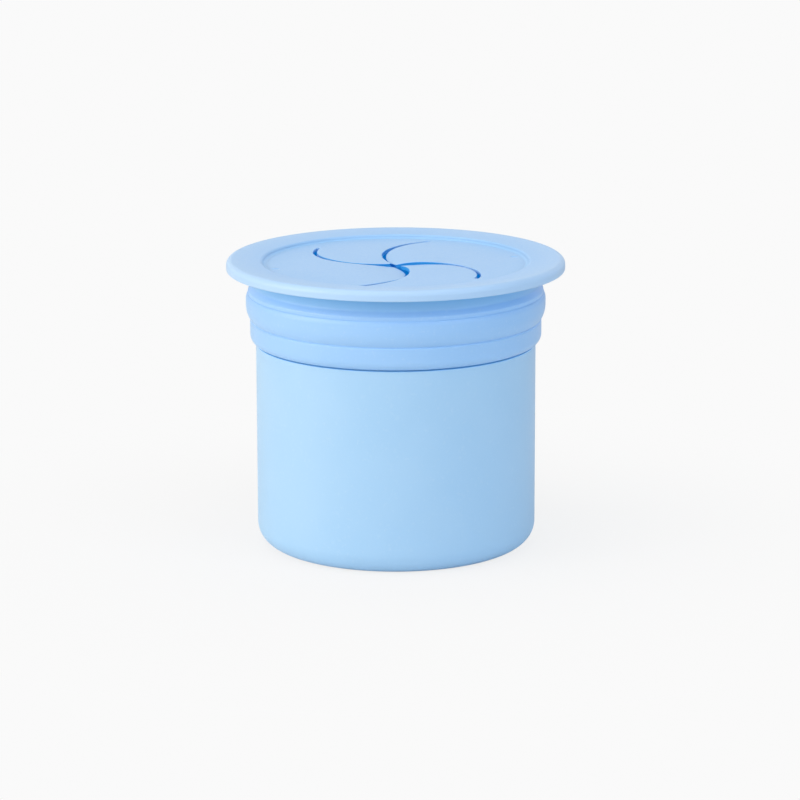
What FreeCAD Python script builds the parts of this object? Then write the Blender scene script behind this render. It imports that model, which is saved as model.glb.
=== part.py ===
import FreeCAD
import Part
import Sketcher

import math
import os
import re

# Silicone snack cup with a slip-on lid, whose top skin is slit into four flaps
# that a small hand pushes through. Millimetres and degrees, +Z up, with the
# origin at the middle of the underside. The viewer's side is -Y.

SIZES = {
    # Cup
    "cup_radius": 39.4,
    "cup_height": 78.6,
    "cup_wall": 2.4,
    "cup_floor": 3.0,
    "base_round": 9.5,
    "inner_base_round": 7.0,
    "rim_round": 0.5,
    "neck_step": 0.9,
    "ledge_round": 0.3,
    # Lid skirt, from the flange down to the lip
    "lid_clearance": 0.15,
    "skirt_height": 20.2,
    "lip_gap": 0.5,
    "lid_neck_wall": 1.75,
    "lid_neck_height": 4.8,
    "shoulder_slope": 0.6,
    "shoulder_wall": 2.85,
    "shoulder_height": 0.95,
    "bead_step": 0.15,
    "bead_top_wall": 3.07,
    "bead_wall": 3.47,
    "bead_rise": 1.5,
    "bead_face": 1.7,
    "bead_fall": 4.2,
    "crease_depth": 0.35,
    "band_wall": 2.35,
    "band_height": 4.1,
    "lip_wall": 1.15,
    "lip_lead": 0.3,
    # Lid top
    "flange_overhang": 7.15,
    "flange_thickness": 2.65,
    "flange_lift": 0.55,
    "underside_lift": 0.2,
    "flange_edge_round": 1.6,
    "flange_foot_round": 0.4,
    "cove_round": 1.0,
    "recess_margin": 3.15,
    "recess_depth": 1.0,
    "recess_round": 1.6,
    "skin_thickness": 1.0,
    "seat_margin": 0.5,
    "mark_radius": 1.1,
    "mark_depth": 0.2,
    "mark_inset": 2.75,
    "mark_direction": 14.0,
    # Slits and flaps
    "short_slit_radius": 17.5,
    "short_slit_direction": 108.3,
    "short_slit_sweep": 126.0,
    "long_slit_radius": 22.6,
    "long_slit_direction": 31.4,
    "long_slit_sweep": 96.0,
    "slit_width": 1.1,
    "hinge_clearance": 0.15,
    "root_round": 0.45,
    "root_corner_width": 1.5,
    "tip_round": 1.2,
    # How far each flap hangs below level when nothing touches it
    "droop_back": 1.7,
    "droop_right": 2.4,
    "droop_front": 2.5,
    "droop_left": 5.0,
    # How far every cut runs past the material
    "cut_overrun": 1.0,
}
# Each flap with the kind of slit that it lies inside, and its half turns round the lid
FLAPS = {
    "flap_back": ("short", 0),
    "flap_right": ("long", 0),
    "flap_front": ("short", 1),
    "flap_left": ("long", 1),
}
PAIR = 2
HALF_TURN = 180
FULL_TURN = 360
CLOCKWISE = -1
ANTICLOCKWISE = 1

doc = FreeCAD.newDocument("snack_cup")
sheet = doc.addObject("Spreadsheet::Sheet", "Sheet")
for row, (alias, size) in enumerate(SIZES.items(), start=1):
    sheet.set(f"A{row}", str(size))
    sheet.setAlias(f"A{row}", alias)
doc.recompute()
layout = doc.addObject("App::VarSet", "Layout")


def linked(text):
    """Put the owner's name before each size and each worked-out value of an expression."""
    def owner(word):
        place = "Sheet" if word[0] in SIZES else "Layout"
        return f"{place}.{word[0]}"
    return re.sub(r"\b[a-z]+(?:_[a-z]+)+\b", owner, text)


def work_out(name, text):
    """Keep a value that follows from the sheet's sizes."""
    layout.addProperty("App::PropertyFloat", name)
    layout.setExpression(name, linked(text))
    layout.recompute()


def number(text):
    return float(layout.evalExpression(linked(text)))


def origin_feature(body, role):
    return [item for item in body.Origin.OriginFeatures if item.Role == role][0]


def new_sketch(body, name, plane, level="0", turn="0"):
    """A sketch on one of the body's own planes, raised to a level and turned about its normal."""
    sketch = body.newObject("Sketcher::SketchObject", name)
    sketch.AttachmentSupport = (origin_feature(body, plane), "")
    sketch.MapMode = "FlatFace"
    place = f"placement(vector(0; 0; {level}); rotation({turn}; 0; 0))"
    sketch.setExpression("AttachmentOffset", linked(place))
    return sketch


def bind(sketch, constraint, text):
    index = sketch.addConstraint(constraint)
    sketch.setExpression(f"Constraints[{index}]", linked(text))


def draw_outline(sketch, corners):
    """Draw a closed outline. Each corner is (x, y) where a line ends there, or
    (x, y, radius, turning) where an arc of under half a circle does."""
    ends = [FreeCAD.Vector(number(corner[0]), number(corner[1]), 0) for corner in corners]
    joints = []
    for index, corner in enumerate(corners):
        start, end = ends[index - 1], ends[index]
        if len(corner) == 2:
            edge = sketch.addGeometry(Part.LineSegment(start, end))
            joints.append((edge, 1, 2))
            continue
        radius, turning = number(corner[2]), corner[3]
        half = (end - start) / 2
        across = FreeCAD.Vector(-half.y, half.x, 0).normalize()
        rise = math.sqrt(radius ** 2 - half.Length ** 2)
        centre = start + half + across * (rise * turning)
        circle = Part.Circle(centre, FreeCAD.Vector(0, 0, 1), radius)
        first, last = (start, end) if turning == ANTICLOCKWISE else (end, start)
        arc = Part.ArcOfCircle(circle, circle.parameter(first), circle.parameter(last))
        edge = sketch.addGeometry(arc)
        joints.append((edge, 1, 2) if turning == ANTICLOCKWISE else (edge, 2, 1))
    for index, corner in enumerate(corners):
        edge, _, tail = joints[index]
        after, head, _ = joints[(index + 1) % len(joints)]
        sketch.addConstraint(Sketcher.Constraint("Coincident", edge, tail, after, head))
        bind(sketch, Sketcher.Constraint("DistanceX", edge, tail, ends[index].x), corner[0])
        bind(sketch, Sketcher.Constraint("DistanceY", edge, tail, ends[index].y), corner[1])
        if len(corner) > 2:
            bind(sketch, Sketcher.Constraint("Radius", edge, number(corner[2])), corner[2])


def draw_circle(sketch, x, y, radius):
    centre = FreeCAD.Vector(number(x), number(y), 0)
    edge = sketch.addGeometry(Part.Circle(centre, FreeCAD.Vector(0, 0, 1), number(radius)))
    bind(sketch, Sketcher.Constraint("DistanceX", edge, 3, centre.x), x)
    bind(sketch, Sketcher.Constraint("DistanceY", edge, 3, centre.y), y)
    bind(sketch, Sketcher.Constraint("Radius", edge, number(radius)), radius)


def revolve(body, name, sketch):
    feature = body.newObject("PartDesign::Revolution", name)
    feature.Profile = sketch
    feature.ReferenceAxis = (origin_feature(body, "Z_Axis"), [""])
    feature.Angle = FULL_TURN
    sketch.Visibility = False
    doc.recompute()


def cut_down(body, name, sketch, depth):
    """Cut a sketch's outline straight down, and make sure that it took material away."""
    before = body.Shape.Volume
    feature = body.newObject("PartDesign::Pocket", name)
    feature.Profile = sketch
    feature.setExpression("Length", linked(depth))
    doc.recompute()
    if not feature.Shape.Volume < before:
        raise RuntimeError(f"{name} cuts nothing")
    return feature


def repeat_round(body, name, features, count):
    pattern = body.newObject("PartDesign::PolarPattern", name)
    pattern.Originals = features
    pattern.Axis = (origin_feature(body, "Z_Axis"), [""])
    pattern.Angle = FULL_TURN
    pattern.Occurrences = count
    body.Tip = pattern
    doc.recompute()


def round_edges(body, name, radius, chosen):
    """Fillet the edges of the body's last feature for which chosen(edge) is true."""
    base = body.Tip
    names = [f"Edge{index}" for index, edge in enumerate(base.Shape.Edges, start=1) if chosen(edge)]
    fillet = body.newObject("PartDesign::Fillet", name)
    fillet.Base = (base, names)
    fillet.setExpression("Radius", linked(radius))
    doc.recompute()


# Levels and radii that the cup and the lid share

work_out("inner_radius", "cup_radius - cup_wall")
work_out("neck_radius", "cup_radius - neck_step")
work_out("lip_level", "cup_height - skirt_height")
work_out("ledge_level", "lip_level - lip_gap")
work_out("bore_radius", "neck_radius + lid_clearance")
work_out("seat_radius", "inner_radius - seat_margin")

# Cup: a straight wall on a well rounded base, with a thinner neck for the lid

cup = doc.addObject("PartDesign::Body", "cup")
cup_profile = new_sketch(cup, "cup_profile", "XZ_Plane")
draw_outline(cup_profile, [
    ("0", "0"),
    ("cup_radius - base_round", "0"),
    ("cup_radius", "base_round", "base_round", ANTICLOCKWISE),
    ("cup_radius", "ledge_level - ledge_round"),
    ("cup_radius - ledge_round", "ledge_level", "ledge_round", ANTICLOCKWISE),
    ("neck_radius", "ledge_level"),
    ("neck_radius", "cup_height - rim_round"),
    ("neck_radius - rim_round", "cup_height", "rim_round", ANTICLOCKWISE),
    ("inner_radius + rim_round", "cup_height"),
    ("inner_radius", "cup_height - rim_round", "rim_round", ANTICLOCKWISE),
    ("inner_radius", "cup_floor + inner_base_round"),
    ("inner_radius - inner_base_round", "cup_floor", "inner_base_round", CLOCKWISE),
    ("0", "cup_floor"),
])
revolve(cup, "cup_turned", cup_profile)

# Lid: flange and sunk skin on a skirt of neck, shoulder, bead, band and lip

work_out("lid_neck_radius", "bore_radius + lid_neck_wall")
work_out("shoulder_radius", "bore_radius + shoulder_wall")
work_out("bead_top_radius", "bore_radius + bead_top_wall")
work_out("bead_radius", "bore_radius + bead_wall")
work_out("band_radius", "bore_radius + band_wall")
work_out("lip_radius", "bore_radius + lip_wall")
work_out("flange_radius", "lid_neck_radius + flange_overhang")
work_out("recess_radius", "lid_neck_radius - recess_margin")
work_out("mark_distance", "recess_radius - mark_inset")
work_out("neck_low", "cup_height - lid_neck_height")
work_out("shoulder_top", "neck_low - shoulder_slope")
work_out("shoulder_low", "shoulder_top - shoulder_height")
work_out("bead_top", "shoulder_low - bead_step")
work_out("bead_high", "bead_top - bead_rise")
work_out("bead_low", "bead_high - bead_face")
work_out("crease_level", "bead_low - bead_fall")
work_out("crease_radius", "band_radius - crease_depth")
work_out("band_low", "crease_level - band_height")
work_out("bead_high_swell", "bead_radius - bead_top_radius")
work_out("bead_low_swell", "bead_radius - crease_radius")
work_out("lip_draw", "band_radius - lip_radius")
work_out("lip_drop", "band_low - lip_level")
# An arc that starts upright and leans by a swell over a height has this radius
work_out("bead_high_curve", "(bead_rise^2 + bead_high_swell^2) / (2 * bead_high_swell)")
work_out("bead_low_curve", "(bead_fall^2 + bead_low_swell^2) / (2 * bead_low_swell)")
work_out("lip_curve", "(lip_drop^2 + lip_draw^2) / (2 * lip_draw)")
work_out("lid_top", "cup_height + flange_thickness")
work_out("rim_top", "lid_top + flange_lift")
work_out("rim_low", "cup_height + underside_lift")
work_out("skin_top", "lid_top - recess_depth")
work_out("skin_low", "skin_top - skin_thickness")
work_out("recess_half", "sqrt(recess_round * recess_depth - recess_depth^2 / 4)")

lid = doc.addObject("PartDesign::Body", "lid")
lid_profile = new_sketch(lid, "lid_profile", "XZ_Plane")
draw_outline(lid_profile, [
    ("0", "skin_low"),
    ("seat_radius", "skin_low"),
    ("seat_radius", "cup_height"),
    ("bore_radius", "cup_height"),
    ("bore_radius", "lip_level + lip_lead"),
    ("bore_radius + lip_lead", "lip_level"),
    ("lip_radius", "lip_level"),
    ("band_radius", "band_low", "lip_curve", ANTICLOCKWISE),
    ("band_radius", "crease_level - crease_depth"),
    ("crease_radius", "crease_level"),
    ("bead_radius", "bead_low", "bead_low_curve", ANTICLOCKWISE),
    ("bead_radius", "bead_high"),
    ("bead_top_radius", "bead_top", "bead_high_curve", ANTICLOCKWISE),
    ("shoulder_radius", "shoulder_low"),
    ("shoulder_radius", "shoulder_top"),
    ("lid_neck_radius", "neck_low"),
    ("lid_neck_radius", "cup_height - cove_round"),
    ("lid_neck_radius + cove_round", "cup_height", "cove_round", CLOCKWISE),
    ("flange_radius - flange_foot_round", "rim_low"),
    ("flange_radius", "rim_low + flange_foot_round", "flange_foot_round", ANTICLOCKWISE),
    ("flange_radius", "rim_top - flange_edge_round"),
    ("flange_radius - flange_edge_round", "rim_top", "flange_edge_round", ANTICLOCKWISE),
    ("recess_radius + recess_half", "lid_top"),
    ("recess_radius", "lid_top - recess_depth / 2", "recess_round", ANTICLOCKWISE),
    ("recess_radius - recess_half", "skin_top", "recess_round", CLOCKWISE),
    ("0", "skin_top"),
])
revolve(lid, "lid_turned", lid_profile)

mark_sketch = new_sketch(lid, "mark_outline", "XY_Plane", "skin_top", "mark_direction")
draw_circle(mark_sketch, "mark_distance", "0", "mark_radius")
mark = cut_down(lid, "mark", mark_sketch, "mark_depth")
repeat_round(lid, "marks", [mark], PAIR)

# Slits: two short and two long arcs that start at the lid's middle, taken in turn.
# Each flap lies inside one slit's circle and outside the next one's. Its root runs
# from the end of the first slit to where it touches the circle of the second. Flap
# outlines are drawn with x along the root and y from the lid's middle to the root.

for own in ("short", "long"):
    work_out(f"{own}_slit_inner", f"{own}_slit_radius - slit_width / 2")
    work_out(f"{own}_slit_outer", f"{own}_slit_radius + slit_width / 2")
work_out("hinge_level", "skin_top - skin_thickness / 2")
work_out("short_next_angle", "long_slit_direction - short_slit_direction")
work_out("long_next_angle", f"-{HALF_TURN} - short_next_angle")


def place_root(own, other):
    """Work out the root of the flap inside a slit of the kind own and outside one of the
    kind other, and where the middles of both circles lie in the flap's outline."""
    run = f"{own}_slit_radius - {own}_slit_inner * cos({own}_slit_sweep)"
    work_out(f"{own}_root_across", f"{run} - {other}_slit_radius * cos({own}_next_angle)")
    rise = f"{own}_slit_inner * sin({own}_slit_sweep)"
    work_out(f"{own}_root_along", f"{rise} - {other}_slit_radius * sin({own}_next_angle)")
    work_out(f"{own}_root_span", f"hypot({own}_root_across; {own}_root_along)")
    lean = f"acos({other}_slit_outer / {own}_root_span)"
    work_out(f"{own}_root_turn", f"{lean} - atan2({own}_root_along; {own}_root_across)")
    work_out(f"{own}_root_direction", f"{own}_slit_direction - {own}_root_turn")
    work_out(f"{own}_own_side", f"-{own}_slit_radius * sin({own}_root_turn)")
    work_out(f"{own}_own_front", f"{own}_slit_radius * cos({own}_root_turn)")
    work_out(f"{own}_next_turn", f"{own}_next_angle + {own}_root_turn")
    work_out(f"{own}_next_side", f"-{other}_slit_radius * sin({own}_next_turn)")
    work_out(f"{own}_next_front", f"{other}_slit_radius * cos({own}_next_turn)")
    work_out(f"{own}_apart_side", f"{own}_next_side - {own}_own_side")
    work_out(f"{own}_apart_front", f"{own}_next_front - {own}_own_front")
    work_out(f"{own}_circles_apart", f"hypot({own}_apart_side; {own}_apart_front)")
    work_out(f"{own}_edge_reach", f"{own}_next_front + {other}_slit_outer")
    work_out(f"{own}_flap_reach", f"{own}_edge_reach - hinge_clearance")
    work_out(f"{own}_hinge_reach", f"{own}_flap_reach - skin_thickness / 2")


def flap_corners(name, own, inside, outside, reach, origin_reach):
    """Outline of a flap inside its own circle of radius inside and outside the next
    circle of radius outside, with its root at reach, as corners for draw_outline."""
    apart = f"{own}_circles_apart"
    work_out(f"{name}_toward", f"({inside}^2 - {outside}^2 + {apart}^2) / (2 * {apart}^2)")
    work_out(f"{name}_aside", f"sqrt({inside}^2 / {apart}^2 - {name}_toward^2)")
    tip_x = f"{own}_own_side + {name}_toward * {own}_apart_side + {name}_aside * {own}_apart_front"
    tip_y = f"{own}_own_front + {name}_toward * {own}_apart_front - {name}_aside * {own}_apart_side"
    left_x = f"{own}_own_side - sqrt({inside}^2 - ({reach} - {own}_own_front)^2)"
    step_y = f"{reach} - root_corner_width"
    right_x = f"{own}_next_side - sqrt({outside}^2 - ({step_y} - {own}_next_front)^2)"
    return [
        (tip_x, f"{tip_y} - {origin_reach}", outside, ANTICLOCKWISE),
        (left_x, f"{reach} - {origin_reach}", inside, CLOCKWISE),
        (right_x, f"{reach} - {origin_reach}"),
        (right_x, f"{step_y} - {origin_reach}"),
    ]


def cut_slit(own, other):
    """Cut a slit of one kind with a rounded end, and the window for the flap inside it."""
    radius, sweep = f"{own}_slit_radius", f"{own}_slit_sweep"
    outer, inner = f"{own}_slit_outer", f"{own}_slit_inner"
    level, direction = "skin_top + cut_overrun", f"{own}_slit_direction"
    slit_sketch = new_sketch(lid, f"{own}_slit_outline", "XY_Plane", level, direction)
    draw_outline(slit_sketch, [
        ("-slit_width / 2", "0"),
        (f"{radius} - {outer} * cos({sweep})", f"{outer} * sin({sweep})", outer, CLOCKWISE),
        (f"{radius} - {inner} * cos({sweep})", f"{inner} * sin({sweep})"),
        ("slit_width / 2", "0", inner, ANTICLOCKWISE),
    ])
    end_sketch = new_sketch(lid, f"{own}_slit_end_outline", "XY_Plane", level, direction)
    end_x, end_y = f"{radius} - {radius} * cos({sweep})", f"{radius} * sin({sweep})"
    draw_circle(end_sketch, end_x, end_y, "slit_width / 2")
    window_turn = f"{own}_root_direction - 90"
    window_sketch = new_sketch(lid, f"{own}_window_outline", "XY_Plane", level, window_turn)
    window_corners = flap_corners(
        f"{own}_window", own, radius, f"{other}_slit_radius", f"{own}_edge_reach", "0"
    )
    draw_outline(window_sketch, window_corners)
    through_skin = "skin_thickness + 2 * cut_overrun"
    cuts = [
        cut_down(lid, f"{own}_slit", slit_sketch, through_skin),
        cut_down(lid, f"{own}_slit_end", end_sketch, through_skin),
        cut_down(lid, f"{own}_window", window_sketch, through_skin),
    ]
    repeat_round(lid, f"{own}_openings", cuts, PAIR)


flap_outlines = {}
for own, other in (("short", "long"), ("long", "short")):
    place_root(own, other)
    cut_slit(own, other)
    flap_outlines[own] = flap_corners(
        f"{own}_flap",
        own,
        f"{own}_slit_inner",
        f"{other}_slit_outer",
        f"{own}_flap_reach",
        f"{own}_hinge_reach",
    )

# Flaps: tongues of the lid's skin, each on a rounded root along its own x axis

TOUCH = 1e-5


def is_tip(edge, outline):
    tip = FreeCAD.Vector(number(outline[0][0]), number(outline[0][1]), 0)
    flat = [FreeCAD.Vector(vertex.X, vertex.Y, 0) for vertex in edge.Vertexes]
    return all(point.distanceToPoint(tip) < TOUCH for point in flat)


def is_root(edge):
    level = edge.Vertexes[0].Z - edge.Vertexes[-1].Z
    root = number("skin_thickness / 2")
    return abs(level) < TOUCH and all(abs(vertex.Y - root) < TOUCH for vertex in edge.Vertexes)


flaps = []
for name, (own, half_turns) in FLAPS.items():
    droop = name.replace("flap", "droop")
    outline = flap_outlines[own]
    flap = doc.addObject("PartDesign::Body", name)
    sketch = new_sketch(flap, f"{name}_outline", "XY_Plane", "-skin_thickness / 2")
    draw_outline(sketch, outline)
    pad = flap.newObject("PartDesign::Pad", f"{name}_pad")
    pad.Profile = sketch
    pad.setExpression("Length", linked("skin_thickness"))
    doc.recompute()
    round_edges(flap, f"{name}_tip", "tip_round", lambda edge: is_tip(edge, outline))
    round_edges(flap, f"{name}_root", "root_round", is_root)
    heading = f"({own}_root_direction - {half_turns * HALF_TURN})"
    reach = f"{own}_hinge_reach"
    root = f"vector({reach} * cos({heading}); {reach} * sin({heading}); hinge_level)"
    flap.setExpression("Placement", linked(f"placement({root}; rotation({heading} - 90; 0; {droop}))"))
    flaps.append(flap)
doc.recompute()

# Check every object and every solid, then write one file for each piece

failed = [item.Label for item in doc.Objects if {"Invalid", "Error"} & set(item.State)]
if failed:
    raise RuntimeError(f"failed objects: {failed}")
os.makedirs("parts", exist_ok=True)
for body in [cup, lid] + flaps:
    shape = body.Shape
    if shape.isNull() or not shape.isValid() or len(shape.Solids) != 1:
        raise RuntimeError(f"{body.Label} is not one valid solid")
    shape.exportStep(f"parts/{body.Label}.step")
    print(f"{body.Label}: {shape.Volume:.1f} mm3")
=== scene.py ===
import math

import bmesh
import bpy
import numpy as np
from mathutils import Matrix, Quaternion, Vector
from mathutils.geometry import delaunay_2d_cdt


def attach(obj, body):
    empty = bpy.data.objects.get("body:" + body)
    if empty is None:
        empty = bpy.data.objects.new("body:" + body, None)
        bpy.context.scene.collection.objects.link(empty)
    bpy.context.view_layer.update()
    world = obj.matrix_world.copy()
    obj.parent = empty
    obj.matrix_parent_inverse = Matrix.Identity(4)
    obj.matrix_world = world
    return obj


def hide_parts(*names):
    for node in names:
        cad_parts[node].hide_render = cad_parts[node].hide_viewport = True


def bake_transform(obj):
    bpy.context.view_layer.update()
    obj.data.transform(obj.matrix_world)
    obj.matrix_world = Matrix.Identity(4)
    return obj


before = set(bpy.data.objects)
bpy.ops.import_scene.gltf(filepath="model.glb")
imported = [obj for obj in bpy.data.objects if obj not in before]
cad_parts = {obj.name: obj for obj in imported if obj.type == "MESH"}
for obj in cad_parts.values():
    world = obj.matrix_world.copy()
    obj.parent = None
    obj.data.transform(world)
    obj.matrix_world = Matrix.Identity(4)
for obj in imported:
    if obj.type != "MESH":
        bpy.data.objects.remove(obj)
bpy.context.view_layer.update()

# Cup: a straight round wall on a well rounded foot, with a thinner neck at the top
# that the lid slips over. It is one thick moulding of matte blue silicone, pressed in
# a mould that leaves a fine satin grain all over. Sizes are in millimetres.

MM = 0.001
AROUND = 256
cup_radius = 39.4
cup_height = 78.6
cup_wall = 2.4
cup_floor = 3.0
foot_round = 6.2
inner_foot_round = 7.0
rim_round = 0.5
neck_step = 0.9
neck_radius = cup_radius - neck_step
inner_radius = cup_radius - cup_wall
skirt_drop = 20.2
lip_level = cup_height - skirt_drop
ledge_gap = 0.5
ledge_level = lip_level - ledge_gap
ledge_round = 0.3
ledge_foot_round = 0.2
cup_facet = 4.0
cup_satin = 0.38
# Painted light: weak deep blue glows on the cup's inside and on the ledge under the lid's lip.
inside_painted_glow = 0.14
ledge_painted_glow = 0.05
# Painted shade: the share of the deep gap blue painted on the ledge under the lid's lip.
ledge_shade_tint = 0.4
cup_blue = (0.39, 0.635, 0.895)
# Painted shade: a deeper blue for the groove under the lid's flange.
groove_shade_blue = (0.22, 0.54, 0.88)
# Painted light: a paler blue for the flange's thin outer edge.
edge_light_blue = (0.50, 0.68, 0.89)
# Painted shade: a deep blue for the punched slit faces and the ledge under the lid's lip.
gap_shade_blue = (0.04, 0.38, 0.85)


def rounded(corners, facet=10.0, beside=0.12):
    """A path through corners given as (across, up, radius). Each corner is cut by an arc
    that touches both runs. The arc turns by about facet degrees a step. A point beside
    each end of the arc keeps the shading of the straight runs flat."""
    spots = np.array([corner[:2] for corner in corners], float)
    path = [spots[:1]]
    for start, middle, end, corner in zip(spots, spots[1:], spots[2:], corners[1:]):
        arrive = (middle - start) / np.hypot(*(middle - start))
        leave = (end - middle) / np.hypot(*(end - middle))
        turn = math.atan2(arrive[0] * leave[1] - arrive[1] * leave[0], arrive @ leave)
        reach = corner[2] * math.tan(abs(turn) / 2)
        inward = np.array([-arrive[1], arrive[0]]) * math.copysign(corner[2], turn)
        swing = np.linspace(0, turn, max(3, round(abs(math.degrees(turn)) / facet)) + 1)
        spin = np.array([[np.cos(swing), -np.sin(swing)], [np.sin(swing), np.cos(swing)]])
        arc = middle - arrive * reach + inward - np.einsum("abk,b->ka", spin, inward)
        before, after = middle - arrive * (reach + beside), middle + leave * (reach + beside)
        path += [before[None], arc, after[None]]
    return np.vstack(path + [spots[-1:]])


def quads(rows, columns, row_loop=False, column_loop=False):
    """Corner numbers of the faces of a grid of points numbered row by row. A loop joins
    the last row or column to the first."""
    down = np.arange(rows if row_loop else rows - 1)[:, None]
    along = np.arange(columns if column_loop else columns - 1)[None, :]
    here, below = down * columns, (down + 1) % rows * columns
    beyond = (along + 1) % columns
    corners = [here + along, here + beyond, below + beyond, below + along]
    return np.stack(corners, -1).reshape(-1, 4)


def turned(profile, row_loop=False):
    """Points and faces of a profile of (radius, height) turned round the upright axis:
    x = radius cos a, y = radius sin a, z = height, with a in AROUND equal steps."""
    angle = np.arange(AROUND) * 2 * np.pi / AROUND
    ring = np.stack([np.cos(angle), np.sin(angle)], -1)
    flat = profile[:, None, :1] * ring[None]
    high = np.broadcast_to(profile[:, None, 1:], (len(profile), AROUND, 1))
    points = np.concatenate([flat, high], -1).reshape(-1, 3)
    return points, quads(len(profile), AROUND, row_loop, True)


def paint(mesh, share, values):
    """Keeps one number for each point of a mesh, for the material to read."""
    mesh.attributes.new(share, "FLOAT", "POINT").data.foreach_set("value", values)


def moulding(name, parts, gap_shades=None, sharp=50.0, merge=0.0005 * MM):
    """One smooth mesh from parts of points in millimetres and faces. Points that fall
    together are merged, faces turn outwards, and edges over sharp degrees stay crisp.
    The last argument gives the shares of painted shade, a deep blue, at the points."""
    points, faces, count = [], [], 0
    for spots, corners in parts:
        points.append(spots * MM)
        faces += (np.asarray(corners) + count).tolist()
        count += len(spots)
    mesh = bpy.data.meshes.new(name)
    mesh.from_pydata(np.vstack(points), [], faces)
    if gap_shades is not None:
        paint(mesh, "painted_gap_shade", gap_shades)
    sewn = bmesh.new()
    sewn.from_mesh(mesh)
    bmesh.ops.remove_doubles(sewn, verts=sewn.verts, dist=merge)
    bmesh.ops.dissolve_degenerate(sewn, edges=sewn.edges, dist=merge)
    bmesh.ops.recalc_face_normals(sewn, faces=sewn.faces)
    sewn.to_mesh(mesh)
    sewn.free()
    mesh.shade_smooth()
    mesh.set_sharp_from_angle(angle=math.radians(sharp))
    piece = bpy.data.objects.new(name, mesh)
    bpy.context.scene.collection.objects.link(piece)
    return piece


def silicone(name, blue, satin, painted_glow=0.0):
    """Satin silicone: a blue that drifts a little over centimetres, with faint pale bloom
    and a fine grain that moves the gloss and the surface. The weak deep blue emission is
    painted light that stands in for daylight reaching through the wall behind the surface.
    Point shares deepen the blue as painted shade or pale it as painted light."""
    silicone_ior = 1.41
    painted_glow_blue = (0.0, 0.5, 1.0, 1)
    deep_shares = (0.95, 0.975, 0.99)
    bloom_lift, bloom_most = 0.10, 0.5
    gloss_swing = 0.05
    grain_strength, grain_depth = 0.09, 0.1 * MM
    drift_scale, bloom_scale, gloss_scale, grain_scale = 55, 900, 1600, 3200
    material = bpy.data.materials.new(name)
    material.use_nodes = True
    nodes, links = material.node_tree.nodes, material.node_tree.links
    shader = nodes["Principled BSDF"]
    shader.inputs["IOR"].default_value = silicone_ior
    # Painted light: a constant deep blue emission, standing in for daylight soaking through the
    # wall.
    shader.inputs["Emission Color"].default_value = painted_glow_blue
    shader.inputs["Emission Strength"].default_value = painted_glow
    place = nodes.new("ShaderNodeTexCoord").outputs["Object"]

    def cloud(per_metre, detail):
        """Noise over the piece, with so many swells in a metre."""
        noise = nodes.new("ShaderNodeTexNoise")
        noise.inputs["Scale"].default_value = per_metre
        noise.inputs["Detail"].default_value = detail
        links.new(place, noise.inputs["Vector"])
        return noise.outputs["Fac"]

    def span(value, low, high, out_low, out_high):
        """Stretches low to high onto out_low to out_high, and stops at both ends."""
        scaled = nodes.new("ShaderNodeMapRange")
        scaled.inputs["From Min"].default_value = low
        scaled.inputs["From Max"].default_value = high
        scaled.inputs["To Min"].default_value = out_low
        scaled.inputs["To Max"].default_value = out_high
        links.new(value, scaled.inputs["Value"])
        return scaled.outputs["Result"]

    def blend(amount, first, second):
        """A colour that goes from the first to the second as amount goes from 0 to 1."""
        mix = nodes.new("ShaderNodeMix")
        mix.data_type = "RGBA"
        links.new(amount, mix.inputs["Factor"])
        for socket, colour in zip([mix.inputs[6], mix.inputs[7]], [first, second]):
            if isinstance(colour, tuple):
                socket.default_value = (*colour, 1)
            else:
                links.new(colour, socket)
        return mix.outputs[2]

    deep = tuple(share * channel for share, channel in zip(deep_shares, blue))
    pale = tuple(channel + bloom_lift * (1 - channel) for channel in blue)
    drift = blend(span(cloud(drift_scale, 2), 0.3, 0.7, 0, 1), deep, blue)
    bloom = span(cloud(bloom_scale, 3), 0.58, 0.8, 0, bloom_most)
    colour = blend(bloom, drift, pale)
    # Painted shade in the groove and gaps, and painted light along the flange edge, are mixed
    # into the blue by their point shares.
    for share, shade in (("painted_groove_shade", groove_shade_blue), ("edge", edge_light_blue), ("painted_gap_shade", gap_shade_blue)):
        painted = nodes.new("ShaderNodeAttribute")
        painted.attribute_name = share
        colour = blend(painted.outputs["Fac"], colour, shade)
    links.new(colour, shader.inputs["Base Color"])
    gloss = span(cloud(gloss_scale, 2), 0.3, 0.7, satin - gloss_swing, satin + gloss_swing)
    links.new(gloss, shader.inputs["Roughness"])
    grain = nodes.new("ShaderNodeBump")
    grain.inputs["Strength"].default_value = grain_strength
    grain.inputs["Distance"].default_value = grain_depth
    links.new(cloud(grain_scale, 2), grain.inputs["Height"])
    links.new(grain.outputs["Normal"], shader.inputs["Normal"])
    return material


cup = moulding("cup_moulding", [turned(rounded([
    (0, 0, 0),
    (cup_radius, 0, foot_round),
    (cup_radius, ledge_level, ledge_round),
    (neck_radius, ledge_level, ledge_foot_round),
    (neck_radius, cup_height, rim_round),
    (inner_radius, cup_height, rim_round),
    (inner_radius, cup_floor, inner_foot_round),
    (0, cup_floor, 0),
], facet=cup_facet))])
cup.data.materials.append(silicone("cup_silicone_satin", cup_blue, cup_satin))
cup.data.materials.append(silicone("cup_silicone_inside_painted_glow", cup_blue, cup_satin, inside_painted_glow))
cup.data.materials.append(silicone("cup_silicone_ledge_painted_glow", cup_blue, cup_satin, ledge_painted_glow))

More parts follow.
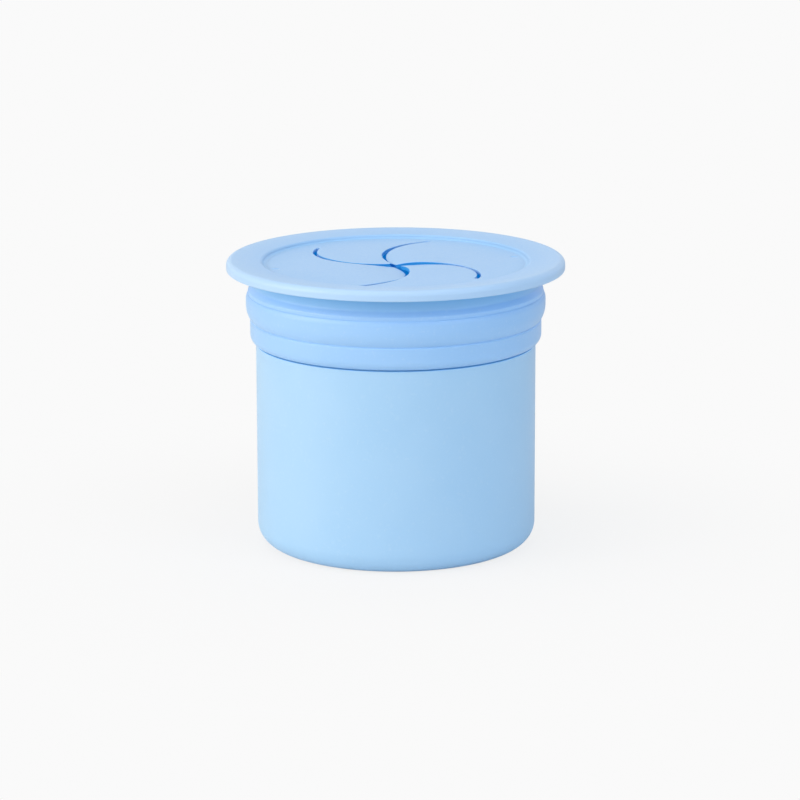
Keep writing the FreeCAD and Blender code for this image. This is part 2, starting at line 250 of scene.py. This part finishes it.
# Painted light: the cup's inside, and a little the ledge under the lid's lip, glow a weak deep
# blue in place of daylight soaking through the wall.
near, upward = 0.1, 0.3
middles, facing = np.empty((2, len(cup.data.polygons), 3))
cup.data.polygons.foreach_get("center", middles.reshape(-1))
cup.data.polygons.foreach_get("normal", facing.reshape(-1))
across, up = np.hypot(middles[:, 0], middles[:, 1]) / MM, middles[:, 2] / MM
open_side = ((middles[:, :2] * facing[:, :2]).sum(1) < 0) | (facing[:, 2] > upward)
inner = (across < inner_radius + near) & open_side & (up < cup_height - rim_round)
ledge_glow_faces = (across < cup_radius) & (abs(up - ledge_level) < 2 * near)
cup.data.polygons.foreach_set("material_index", (inner + 2 * ledge_glow_faces).astype(np.int32))
# Painted shade: the ledge under the lid's lip takes a share of the deep blue of shaded gaps.
spots = np.empty((len(cup.data.vertices), 3))
cup.data.vertices.foreach_get("co", spots.reshape(-1))
ledge_shade_points = abs(spots[:, 2] / MM - ledge_level) < near
ledge_shade_points &= np.hypot(spots[:, 0], spots[:, 1]) < cup_radius * MM
paint(cup.data, "painted_gap_shade", ledge_shade_tint * ledge_shade_points)
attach(cup, "cup")
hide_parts("cup")

# Lid: a wide thin flange round a sunk skin, on a skirt of neck, narrow shoulder, rounded
# bead, flat band and inward lip. It is one softer silicone moulding, held on the cup by
# friction. A punch cuts four curved slits through the skin.

bore_gap = 0.15
bore_radius = neck_radius + bore_gap
lid_neck_radius = bore_radius + 1.75
neck_top_round = 1.0
neck_foot_round = 1.2
shoulder_radius = bore_radius + 2.85
shoulder_round = 0.6
bead_top_radius = bore_radius + 3.07
bead_step_round = 0.06
bead_radius = bore_radius + 3.47
band_radius = bore_radius + 2.35
band_round = 0.3
lip_radius = bore_radius + 1.15
lip_round = 0.25
crease_depth = 0.35
crease_radius = band_radius - crease_depth
flange_radius = lid_neck_radius + 7.15
flange_edge_round = 1.6
flange_foot_round = 0.4
recess_radius = lid_neck_radius - 3.15
recess_depth = 1.0
recess_lean = 0.455
recess_round = 1.5
seat_radius = inner_radius - 0.5
seat_round = 0.15
bore_round = 0.2
neck_low = cup_height - 3.9
shoulder_top = cup_height - 5.4
shoulder_low = shoulder_top - 0.95
bead_top = shoulder_low - 0.15
bead_high = bead_top - 1.5
bead_low = bead_high - 1.7
crease_level = bead_low - 4.2
band_low = crease_level - 4.1
flange_low = cup_height - 0.04
flange_top = cup_height + 2.65
# The flange rises a little outwards, so its faces meet the rim's upright above these levels.
rim_top_corner = flange_top + 0.66
rim_low_corner = cup_height + 0.214
skin_top = flange_top - recess_depth
skin_thickness = 1.0
skin_low = skin_top - skin_thickness
skin_edge = recess_radius - 1.2
lid_facet = 7.5
lid_satin = 0.36
lid_blue = (0.34, 0.59, 0.93)


def swelling(start, end, steps):
    """Points of an arc from an upright start to a leaning end: the circle through both
    whose centre lies level with the start."""
    start, end = np.array(start), np.array(end)
    run, rise = end - start
    radius = (run * run + rise * rise) / (2 * run)
    angle = np.linspace(0, math.atan2(rise / radius, 1 - run / radius), steps)
    out, up = start[0] + radius * (1 - np.cos(angle)), start[1] + radius * np.sin(angle)
    return np.stack([out, up], -1)


top_side = rounded([
    (skin_edge, skin_top, 0),
    (recess_radius - recess_lean, skin_top, recess_round),
    (recess_radius + recess_lean, flange_top, recess_round),
    (flange_radius, rim_top_corner, flange_edge_round),
    (flange_radius, rim_low_corner, flange_foot_round),
    (lid_neck_radius, flange_low, neck_top_round),
    (lid_neck_radius, neck_low, neck_foot_round),
    (shoulder_radius, shoulder_top, shoulder_round),
    (shoulder_radius, shoulder_low, bead_step_round),
    (bead_top_radius, bead_top, 0),
], facet=lid_facet)
bead_rise = swelling((bead_radius, bead_high), (bead_top_radius, bead_top), 10)[::-1]
bead_fall = swelling((bead_radius, bead_low), (crease_radius, crease_level), 14)
band_side = rounded([
    (crease_radius, crease_level, 0),
    (band_radius, crease_level - crease_depth, band_round),
    (band_radius, band_low, 0),
])[1:]
lip_side = swelling((band_radius, band_low), (lip_radius, lip_level), 10)[1:]
bore_side = rounded([
    (lip_radius, lip_level, 0),
    (bore_radius, lip_level, lip_round),
    (bore_radius, cup_height, bore_round),
    (seat_radius, cup_height, seat_round),
    (seat_radius, skin_low, bore_round),
    (skin_edge, skin_low, 0),
], beside=0.05)[1:]
skirt = turned(np.vstack([top_side[:-1], bead_rise, bead_fall, band_side, lip_side, bore_side]))

# Slits in the lid's skin: two short and two long arcs that start at the middle, taken in
# turn. A flap lies inside one slit's circle and outside the next one's. In a flap's own
# frame y runs from the lid's middle to the flap's root and x along the root.

slit_half = 0.55
edge_round = 0.2
edge_fade = 1.2
edge_lead = 2.5
root_corner = 1.5
joint_steps, arc_steps, end_steps = 24, 40, 12
edge_bend = np.radians(np.linspace(0, 90, 5))
# Each kind's radius, the heading of its circle's middle, and how far it sweeps.
slits = {
    "short": (17.5, math.radians(108.3), math.radians(126)),
    "long": (22.6, math.radians(31.4), math.radians(96)),
}


def circle_point(centre, radius, angle):
    """Points on a circle: the centre plus the radius times the cosine and sine."""
    return np.array(centre) + radius * np.stack([np.cos(angle), np.sin(angle)], -1)


def turning(start, end, way):
    """The end angle moved by whole turns so that it lies the given way from the start."""
    return start + way * ((way * (end - start)) % (2 * math.pi))


def soft_step(value):
    """0 below 0 and 1 above 1, with a level start and end between: 3 v squared - 2 v cubed."""
    share = np.clip(value, 0, 1)
    return share * share * (3 - 2 * share)


def flap_frame(own, other, back):
    """The root of the flap inside a slit of kind own and outside one of kind other, whose
    circle is turned back by an angle. The root goes through the end of the first slit and
    touches the outer edge of the second. Gives its heading, its reach from the lid's
    middle, and the circles' middles and end angles in the flap's own frame."""
    own_radius, own_way, own_sweep = slits[own]
    next_radius, next_way, next_sweep = slits[other]
    next_way -= back
    own_end = circle_point((0, 0), own_radius, own_way)
    own_end = circle_point(own_end, own_radius - slit_half, own_way + math.pi - own_sweep)
    gap = own_end - circle_point((0, 0), next_radius, next_way)
    heading = math.atan2(gap[1], gap[0]) - math.acos((next_radius + slit_half) / np.hypot(*gap))
    turn = math.pi / 2 - heading
    shape = {"heading": heading, "own_radius": own_radius, "next_radius": next_radius}
    shape["own_centre"] = circle_point((0, 0), own_radius, own_way + turn)
    shape["next_centre"] = circle_point((0, 0), next_radius, next_way + turn)
    shape["own_end"] = own_way + turn + math.pi - own_sweep
    reach = shape["next_centre"][1] + next_radius + slit_half
    shape["joint_level"] = reach - root_corner
    lean = (shape["joint_level"] - shape["next_centre"][1]) / (next_radius + slit_half)
    shape["joint_angle"] = math.pi - math.asin(lean)
    shape["next_end"] = turning(shape["joint_angle"], next_way + turn + math.pi - next_sweep, -1)
    return shape


frames = {"short": flap_frame("short", "long", 0), "long": flap_frame("long", "short", math.pi)}


def placed(flat, heading):
    """Points of a flap's own frame turned into the lid's, where its root heads that way."""
    turn = heading - math.pi / 2
    spin = np.array([[math.cos(turn), -math.sin(turn)], [math.sin(turn), math.cos(turn)]])
    return flat @ spin.T


def opening_part(shape):
    """The lid's edge along one flap: straight over the joint, where lid and flap are one,
    then along the next slit's outer edge and round its end. Gives points, outward
    directions and the edge rounding, which fades out at both ends of the joint."""
    outer = shape["next_radius"] + slit_half
    inner = shape["own_radius"] - slit_half
    joint_left = circle_point(shape["own_centre"], inner, shape["own_end"])
    joint_far = circle_point(shape["next_centre"], outer, shape["joint_angle"])
    joint = joint_left + (joint_far - joint_left) * np.linspace(0, 1, joint_steps)[:-1, None]
    angle = np.linspace(shape["joint_angle"], shape["next_end"], arc_steps)[:-1]
    side = circle_point(shape["next_centre"], outer, angle)
    end_angle = np.linspace(shape["next_end"], shape["next_end"] - math.pi, end_steps)
    end_middle = circle_point(shape["next_centre"], shape["next_radius"], shape["next_end"])
    end = circle_point(end_middle, slit_half, end_angle)
    edge = np.vstack([joint, side, end[:-1]])
    turns = np.concatenate([angle, end_angle[:-1]])
    out = np.vstack([joint * 0, circle_point((0, 0), 1, turns)])
    run = np.hypot(*np.diff(np.vstack([side, end]), axis=0).T)
    along = np.concatenate([[0], np.cumsum(run)])
    free = soft_step(np.minimum(along, along[-1] - along) / edge_fade)[:-1] * edge_round
    rounding = np.append(joint[:, 0] * 0, free)
    return placed(edge, shape["heading"]), placed(out, shape["heading"]), rounding


halves = [opening_part(frames["short"]), opening_part(frames["long"])]
opening = np.vstack([half[0] for half in halves] + [-half[0] for half in halves])
opening_out = np.vstack([half[1] for half in halves] + [-half[1] for half in halves])
opening_round = np.concatenate([half[2] for half in halves] * 2)
bend_in, bend_down = 1 - np.sin(edge_bend), 1 - np.cos(edge_bend)
inset_shares = np.concatenate([[edge_lead], bend_in, bend_in[::-1], [edge_lead]])
drop_shares = np.concatenate([[0.0], bend_down, bend_down[::-1], [0.0]])
lower = np.arange(len(inset_shares)) >= len(inset_shares) // 2
edge_flat = opening[None] + opening_out[None] * (inset_shares[:, None] * opening_round)[..., None]
edge_drop = drop_shares[:, None] * opening_round
edge_high = np.where(lower[:, None], skin_low + edge_drop, skin_top - edge_drop)
edge_wall = np.concatenate([edge_flat, edge_high[..., None]], -1).reshape(-1, 3)
opening_wall = (edge_wall, quads(len(inset_shares), len(opening), False, True))

# Two small dimples near the rim of the skin, left by the mould's pins. Their profile is
# given as shares of the radius and of the depth.

mark_radius = 1.1
mark_depth = 0.2
mark_inset = 2.75
mark_steps = 32
mark_around = np.arange(mark_steps) * 2 * np.pi / mark_steps
mark_direction = math.radians(14)
mark_place = circle_point((0, 0), recess_radius - mark_inset, mark_direction)
mark_places = [mark_place, -mark_place]
mark_shares = np.array([1.3, 1.12, 1.0, 0.9, 0.78, 0.6, 0.0])
mark_drops = np.array([0, 0.03, 0.2, 0.62, 0.92, 1.0, 1.0]) * mark_depth


def dimple(middle):
    """A dish turned round middle: the rim falls away in a soft S to a flat bottom."""
    ring = circle_point((0, 0), 1.0, mark_around)[None]
    flat = middle + mark_radius * mark_shares[:, None, None] * ring
    high = np.broadcast_to((skin_top - mark_drops)[:, None, None], (*flat.shape[:2], 1))
    points = np.concatenate([flat, high], -1).reshape(-1, 3)
    return points, quads(len(mark_shares), mark_steps, False, True)


def inside(spots, ring):
    """True for spots inside a closed ring of points, by counting the ring's crossings of
    the ray that leaves each spot along x."""
    a, b = ring[None], np.roll(ring, -1, 0)[None]
    p = spots[:, None]
    spans = (a[..., 1] > p[..., 1]) != (b[..., 1] > p[..., 1])
    rise = np.where(b[..., 1] == a[..., 1], 1, b[..., 1] - a[..., 1])
    cross = a[..., 0] + (p[..., 1] - a[..., 1]) * (b[..., 0] - a[..., 0]) / rise
    return (spans & (p[..., 0] < cross)).sum(1) % 2 == 1


def plate(outer, holes, height, merge=1e-7):
    """A flat sheet between an outer ring and holes, split into triangles."""
    rings = [outer, *holes]
    spots = np.vstack(rings)
    starts = np.cumsum([0] + [len(ring) for ring in rings])
    edges = [
        (start + number, start + (number + 1) % len(ring))
        for ring, start in zip(rings, starts)
        for number in range(len(ring))
    ]
    found = delaunay_2d_cdt([Vector(spot) for spot in spots.tolist()], edges, [], 0, merge)
    flat = np.array([spot[:] for spot in found[0]])
    faces = np.array(found[2])
    middles = flat[faces].mean(1)
    keep = inside(middles, outer)
    for hole in holes:
        keep &= ~inside(middles, hole)
    return np.column_stack([flat, np.full(len(flat), height)]), faces[keep]


mark_edge = mark_radius * mark_shares[0]
skin_ring = circle_point((0, 0), skin_edge, np.arange(AROUND) * 2 * np.pi / AROUND)
mark_rings = [circle_point(middle, mark_edge, mark_around) for middle in mark_places]
lid = moulding("lid_moulding", [
    skirt,
    plate(skin_ring, [edge_flat[0], *mark_rings], skin_top),
    plate(skin_ring, [edge_flat[-1]], skin_low),
    opening_wall,
    *[dimple(middle) for middle in mark_places],
])

# Painted shade and painted light on the lid's blue, as shares at its points: painted shade,
# a deeper blue, in the groove under the flange and at the foot of the recess, where light
# goes from one blue face to another; painted light, a paler blue, along the thin edge that
# daylight soaks into.

edge_light_tint, edge_width, edge_blur, edge_rise = 0.55, 3.0, 2.5, 0.4
groove_shade_tint, groove_drop, groove_blur, groove_width = 0.95, 1.2, 3.4, 3.0
groove_top = cup_height + 0.3
groove_reach = bore_radius + 0.5
recess_shade_tint, recess_shift, recess_width = 0.2, 0.4, 1.4
spots = np.empty((len(lid.data.vertices), 3))
lid.data.vertices.foreach_get("co", spots.reshape(-1))
spots /= MM
out, up = np.hypot(spots[:, 0], spots[:, 1]), spots[:, 2]
# Painted light along the flange's outer edge, above the cup's rim.
edge_light_share = edge_light_tint * soft_step((out - flange_radius + edge_width) / edge_blur)
edge_light_share *= soft_step((up - cup_height) / edge_rise)
# Painted shade under the flange, deepest near it and fading towards the bead.
groove_shade_share = groove_shade_tint * soft_step((up - neck_low + groove_drop) / groove_blur)
groove_shade_share *= soft_step((flange_radius - out) / groove_width)
groove_shade_share *= (up < groove_top) & (out > groove_reach)
# Painted shade at the foot of the recess round the skin.
recess_foot = soft_step(1 - abs(out - recess_radius + recess_shift) / recess_width)
groove_shade_share += recess_shade_tint * recess_foot * (up > skin_top - 0.1)
paint(lid.data, "edge", edge_light_share)
paint(lid.data, "painted_groove_shade", groove_shade_share)
lid_silicone = silicone("lid_silicone_satin", lid_blue, lid_satin)
lid.data.materials.append(lid_silicone)
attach(lid, "lid")
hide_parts("lid")

# Flaps: four tongues of the lid's skin, uncut at the root, so they bend there and hang
# a little, the left one most. They are the lid's own silicone, and their edges are
# rounded where the punch went through.

tip_round = 1.2
hinge_level = skin_top - skin_thickness / 2
# Painted shade: the punched side faces take the deep gap blue, fading in over this many
# millimetres from the root.
gap_shade_fade = 20.0
narrow_share = 0.45
least_width = 1e-9
flap_steps, tip_steps, across_steps = 64, 10, 15
# Each flap's kind of slit, its turn round the lid, how far its tip hangs down, and how
# much of the bend is near the tip.
flaps = {
    "flap_back": ("short", 0, 0.3, 3),
    "flap_right": ("long", 0, 0.9, 5),
    "flap_front": ("short", math.pi, 0.8, 6),
    "flap_left": ("long", math.pi, 1.3, 2.5),
}


def flap_edges(shape):
    """Left and right edges of a flap from its root to the middle of its rounded tip. The
    tip's circle touches the flap's own slit from inside and the next one from outside."""
    own, other = shape["own_centre"], shape["next_centre"]
    inner, outer = shape["own_radius"] - slit_half, shape["next_radius"] + slit_half
    apart = np.hypot(*(other - own))
    toward = (other - own) / apart
    share = (apart ** 2 + (inner - tip_round) ** 2 - (outer + tip_round) ** 2) / (2 * apart)
    aside = math.sqrt((inner - tip_round) ** 2 - share ** 2)
    tip = own + toward * share + np.array([toward[1], -toward[0]]) * aside
    left_tip = turning(shape["own_end"], math.atan2(*(tip - own)[::-1]), 1)
    right_tip = turning(shape["joint_angle"], math.atan2(*(tip - other)[::-1]), 1)
    left = circle_point(own, inner, np.linspace(shape["own_end"], left_tip, flap_steps))
    right = circle_point(other, outer, np.linspace(shape["joint_angle"], right_tip, flap_steps))
    nose_start = math.atan2(*(left[-1] - tip)[::-1])
    nose_end = turning(nose_start, math.atan2(*(right[-1] - tip)[::-1]), 1)
    nose_middle = (nose_start + nose_end) / 2
    left_nose = circle_point(tip, tip_round, np.linspace(nose_start, nose_middle, tip_steps))
    right_nose = circle_point(tip, tip_round, np.linspace(nose_end, nose_middle, tip_steps))
    return np.vstack([left, left_nose[1:]]), np.vstack([right, right_nose[1:]])


# A closed section of unit width: shares of the way from the left edge, shares of the edge
# rounding to move in by and to sink by, going over the top and back underneath.
bend_points = len(edge_bend)
across_way = np.linspace(0, 1, across_steps)[1:-1]
flat_run = np.zeros(across_steps - 2)
way = np.concatenate([np.zeros(bend_points), across_way, np.ones(bend_points)])
move = np.concatenate([bend_in[::-1], flat_run, -bend_in])
sink = np.concatenate([bend_down[::-1], flat_run, bend_down])
way, move, sink = [np.concatenate([half, half[::-1]]) for half in (way, move, sink)]
upper = np.arange(len(way)) < len(way) // 2
root_face = np.arange(len(way) // 2)
root_top = np.stack([root_face[:-1], root_face[1:]], -1)
root_cap = np.concatenate([root_top, len(way) - 1 - root_top[:, ::-1]], -1)


def flap_grid(shape):
    """A flap lying level: the section carried from root to tip between its edges. Gives
    flat places, heights over the middle of the skin, and the shares of painted shade on
    its punched side faces, fading in from the root."""
    left, right = flap_edges(shape)
    width = np.maximum(np.hypot(*(right - left).T), least_width)
    ahead = np.concatenate([[0], np.cumsum(np.hypot(*np.diff(left, axis=0).T))])
    rounding = np.minimum(edge_round * soft_step(ahead / edge_fade), width * narrow_share)
    inset = (rounding / width)[:, None]
    level = np.clip(way * (1 - 2 * inset) + inset, 0, 1)
    share = np.where(move == 0, level, way + move * inset)
    flat = left[:, None] + (right - left)[:, None] * share[..., None]
    height = np.where(upper, 1, -1) * (skin_thickness / 2 - sink * rounding[:, None])
    return flat, height, soft_step(ahead / gap_shade_fade)[:, None] * (sink > 0)


def hung(flat, height, root, sag, curl):
    """A level flap whose tip hangs down: with u going from 0 at the root to 1 at the tip
    it sinks by sag times u to the power curl, leans by that curve's slope and draws back
    by half the slope squared along the way, which keeps its length."""
    length = root - flat[..., 1].min()
    u = np.clip((root - flat[..., 1]) / length, 0, None)
    lean = np.arctan(curl * sag * u ** (curl - 1) / length)
    drawn = (curl * sag) ** 2 * u ** (2 * curl - 1) / (2 * length * (2 * curl - 1))
    ahead = flat[..., 1] + drawn - height * np.sin(lean)
    return np.stack([flat[..., 0], ahead], -1), height * np.cos(lean) - sag * u ** curl


for name, (kind, half_turn, sag, curl) in flaps.items():
    shape = frames[kind]
    heading = shape["heading"] - half_turn
    root = shape["joint_level"]
    flat, height, gap_shades = flap_grid(shape)
    bent, sunk = hung(flat, height, root, sag, curl)
    level = (hinge_level + sunk)[..., None]
    points = np.concatenate([placed(bent, heading), level], -1).reshape(-1, 3)
    faces = np.vstack([quads(*height.shape, False, True), root_cap])
    flap = moulding(f"{name}_tongue", [(points, faces)], gap_shades.reshape(-1))
    flap.data.materials.append(lid_silicone)
    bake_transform(flap)
    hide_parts(name)

# Studio: a wide sheet of pale paper as floor and background. Near the cup the camera sees
# the lit paper with the shadow, further off an even white. Two large warm lights stand at
# the left, a cooler one at the front right, a weak one in front and one overhead.

paper_size = 8
paper_grey = (0.9, 0.9, 0.9, 1)
paper_white = (0.955, 0.955, 0.955, 1)
shadow_near, shadow_far, shadow_white = 0.03, 0.16, 0.84
room_white = (1, 1, 1, 1)
room_light = 0.2
bpy.ops.mesh.primitive_plane_add(size=paper_size)
floor = bpy.context.object
floor.name = "floor_paper"
paper = bpy.data.materials.new("pale_paper")
paper.use_nodes = True
nodes, links = paper.node_tree.nodes, paper.node_tree.links
sheet = nodes["Principled BSDF"]
sheet.inputs["Base Color"].default_value = paper_grey
sheet.inputs["Roughness"].default_value = 1
sheet.inputs["Specular IOR Level"].default_value = 0
far = nodes.new("ShaderNodeEmission")
far.inputs["Color"].default_value = paper_white
distance = nodes.new("ShaderNodeVectorMath")
distance.operation = "LENGTH"
links.new(nodes.new("ShaderNodeTexCoord").outputs["Object"], distance.inputs[0])
reach = nodes.new("ShaderNodeMapRange")
reach.interpolation_type = "SMOOTHSTEP"
reach.inputs["From Min"].default_value = shadow_near
reach.inputs["From Max"].default_value = shadow_far
reach.inputs["To Min"].default_value = shadow_white
links.new(distance.outputs["Value"], reach.inputs["Value"])
path = nodes.new("ShaderNodeLightPath")
seen = nodes.new("ShaderNodeMath")
seen.operation = "MULTIPLY"
links.new(reach.outputs["Result"], seen.inputs[0])
links.new(path.outputs["Is Camera Ray"], seen.inputs[1])
surface = nodes.new("ShaderNodeMixShader")
links.new(seen.outputs["Value"], surface.inputs["Fac"])
links.new(sheet.outputs["BSDF"], surface.inputs[1])
links.new(far.outputs["Emission"], surface.inputs[2])
links.new(surface.outputs["Shader"], nodes["Material Output"].inputs["Surface"])
floor.data.materials.append(paper)

world = bpy.data.worlds.new("studio")
bpy.context.scene.world = world
world.use_nodes = True
nodes, links = world.node_tree.nodes, world.node_tree.links
room = nodes["Background"]
room.inputs["Color"].default_value = room_white
room.inputs["Strength"].default_value = room_light
backdrop = nodes.new("ShaderNodeBackground")
backdrop.inputs["Color"].default_value = paper_white
path = nodes.new("ShaderNodeLightPath")
either = nodes.new("ShaderNodeMath")
either.operation = "MAXIMUM"
links.new(path.outputs["Is Camera Ray"], either.inputs[0])
links.new(path.outputs["Is Glossy Ray"], either.inputs[1])
any_of = nodes.new("ShaderNodeMath")
any_of.operation = "MAXIMUM"
links.new(either.outputs["Value"], any_of.inputs[0])
links.new(path.outputs["Is Transmission Ray"], any_of.inputs[1])
behind = nodes.new("ShaderNodeMixShader")
links.new(any_of.outputs["Value"], behind.inputs["Fac"])
links.new(room.outputs["Background"], behind.inputs[1])
links.new(backdrop.outputs["Background"], behind.inputs[2])
links.new(behind.outputs["Shader"], nodes["World Output"].inputs["Surface"])

aim = Vector((0, 0, 0.0407))
warm, cool, plain = (1.0, 0.9, 0.8), (0.75, 0.88, 1.0), (1.0, 1.0, 1.0)


def softbox(name, place, size, power, colour):
    """A square lamp at place, turned to face the middle of the cup."""
    lamp = bpy.data.lights.new(name, "AREA")
    lamp.shape = "SQUARE"
    lamp.size = size
    lamp.energy = power
    lamp.color = colour
    box = bpy.data.objects.new(name, lamp)
    box.location = place
    box.rotation_mode = "QUATERNION"
    box.rotation_quaternion = (aim - Vector(place)).to_track_quat("-Z", "Y")
    bpy.context.scene.collection.objects.link(box)


softbox("side_light", (-1.5, -0.3, 0.5), 1.2, 13.5, warm)
softbox("key_light", (-1.1, -0.9, 0.75), 1.0, 8, warm)
softbox("front_light", (0.0, -1.2, 1.1), 1.2, 4, plain)
softbox("fill_light", (1.1, -0.9, 0.75), 1.0, 8.5, cool)
softbox("top_light", (0.0, 0.1, 1.5), 1.4, 8, plain)

# Camera: where the photograph was taken from, a long lens a little above the lid, held
# a touch off level.

eye = Vector((0, -0.973, 0.2716))
roll = Quaternion((0, 0, 1), math.radians(-0.15))
camera = bpy.data.cameras.new("camera")
camera.sensor_width = 36
camera.lens = 158.9
camera.shift_x = 0.005
view = bpy.data.objects.new("camera", camera)
view.location = eye
view.rotation_mode = "QUATERNION"
view.rotation_quaternion = (aim - eye).to_track_quat("-Z", "Y") @ roll
bpy.context.scene.collection.objects.link(view)
bpy.context.scene.camera = view
bpy.context.scene.view_settings.view_transform = "Standard"
